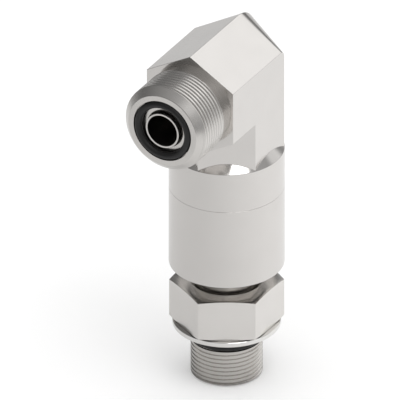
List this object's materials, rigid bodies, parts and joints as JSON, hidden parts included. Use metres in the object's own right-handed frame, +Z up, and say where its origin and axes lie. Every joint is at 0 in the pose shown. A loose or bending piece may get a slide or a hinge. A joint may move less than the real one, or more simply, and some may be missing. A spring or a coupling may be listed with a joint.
{
  "type": "ninety-degree swivel elbow adapter",
  "caption": "Ninety-degree hydraulic swivel elbow: face-seal nose on a hexagon elbow, ball-bearing swivel barrel, adjustable port stud with locknut and washer.",
  "frame": {"origin": "mouth of the flow bore at the lower end of the port stud, on the stem axis", "axes": "+Z up the stem axis from the port stud to the elbow, -Y out of the nose, +X to the right when the nose is seen from the front"},
  "size_m": [0.0536, 0.087, 0.1829],
  "materials": {
    "body_steel": "satin plated",
    "barrel_steel": "satin turned",
    "stem_steel": "turned and threaded",
    "nut_steel": "satin plated",
    "washer_steel": "bright plated",
    "ball_steel": "polished",
    "plug_steel": "blackened",
    "seal_rubber": "moulded",
    "backing_plastic": "machined",
    "bush_bronze": "sintered"
  },
  "bodies": {
    "stem": {"stem": "stem_steel", "port_o_ring": "seal_rubber", "stem_o_ring": "seal_rubber", "upper_backup_ring": "backing_plastic", "lower_backup_ring": "backing_plastic"},
    "elbow": {"elbow_body": "body_steel", "swivel_barrel": "barrel_steel", "face_o_ring": "seal_rubber", "upper_ball_plug": "plug_steel", "lower_ball_plug": "plug_steel", "wear_ring": "backing_plastic", "lower_bush": "bush_bronze", "dust_wiper": "seal_rubber", "barrel_o_ring": "seal_rubber", "thrust_washer": "backing_plastic", "lock_screw": "plug_steel"},
    "upper_balls": {"upper_ball_row": "ball_steel"},
    "lower_balls": {"lower_ball_row": "ball_steel"},
    "washer": {"backup_washer": "washer_steel"},
    "locknut": {"locknut": "nut_steel"}
  },
  "joints": [
    {"name": "swivel", "type": "hinge", "parent": "stem", "child": "elbow", "pos_m": [0, 0, 0.0782], "axis": [0, 0, 1], "continuous": true},
    {"name": "upper_ball_orbit", "type": "hinge", "parent": "stem", "child": "upper_balls", "pos_m": [0, 0, 0.0832], "axis": [0, 0, 1], "continuous": true},
    {"name": "lower_ball_orbit", "type": "hinge", "parent": "stem", "child": "lower_balls", "pos_m": [0, 0, 0.0732], "axis": [0, 0, 1], "continuous": true},
    {"name": "washer_slide", "type": "slide", "parent": "stem", "child": "washer", "axis": [0, 0, 1], "range_m": [0, 0.00635]},
    {"name": "locknut_turn", "type": "hinge", "parent": "washer", "child": "locknut", "pos_m": [0, 0, 0.038], "axis": [0, 0, 1], "range_deg": [0, 1080]}
  ],
  "couplings": [
    {"joint": "upper_ball_orbit", "follows": "swivel", "ratio": 0.5},
    {"joint": "lower_ball_orbit", "follows": "swivel", "ratio": 0.5},
    {"joint": "washer_slide", "follows": "locknut_turn", "m_per_rad": 0.00033687}
  ]
}
